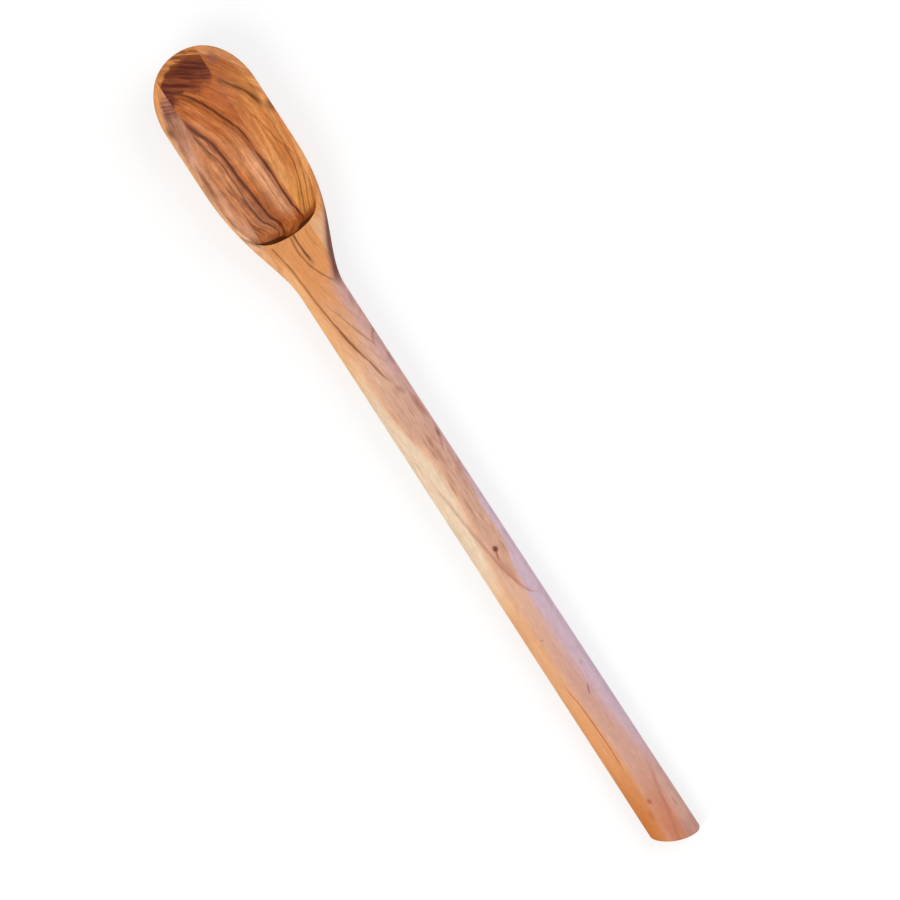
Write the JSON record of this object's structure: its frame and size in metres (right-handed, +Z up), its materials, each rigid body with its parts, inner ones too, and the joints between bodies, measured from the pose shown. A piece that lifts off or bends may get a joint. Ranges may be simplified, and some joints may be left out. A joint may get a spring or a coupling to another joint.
{
  "type": "wooden spoon",
  "caption": "Long slender wooden spoon with a deep oval bowl, offset flat handle and skewed handle end, glued up edge to edge from wooden strips and carved.",
  "frame": {"origin": "on the surface that the spoon lies on, under the middle of its length and width", "axes": "+X along the spoon from the bowl's tip to the handle's end, +Y towards the right cheek, away from the side that the handle is offset to, +Z up, out of the bowl's mouth"},
  "size_m": [0.305, 0.0344, 0.0158],
  "materials": {
    "stave_wood": "satin, oiled",
    "right_cheek_wood": "satin, oiled",
    "left_cheek_wood": "satin, oiled"
  },
  "bodies": {
    "root": {"stave": "stave_wood", "right_cheek": "right_cheek_wood", "left_cheek": "left_cheek_wood"}
  },
  "joints": []
}
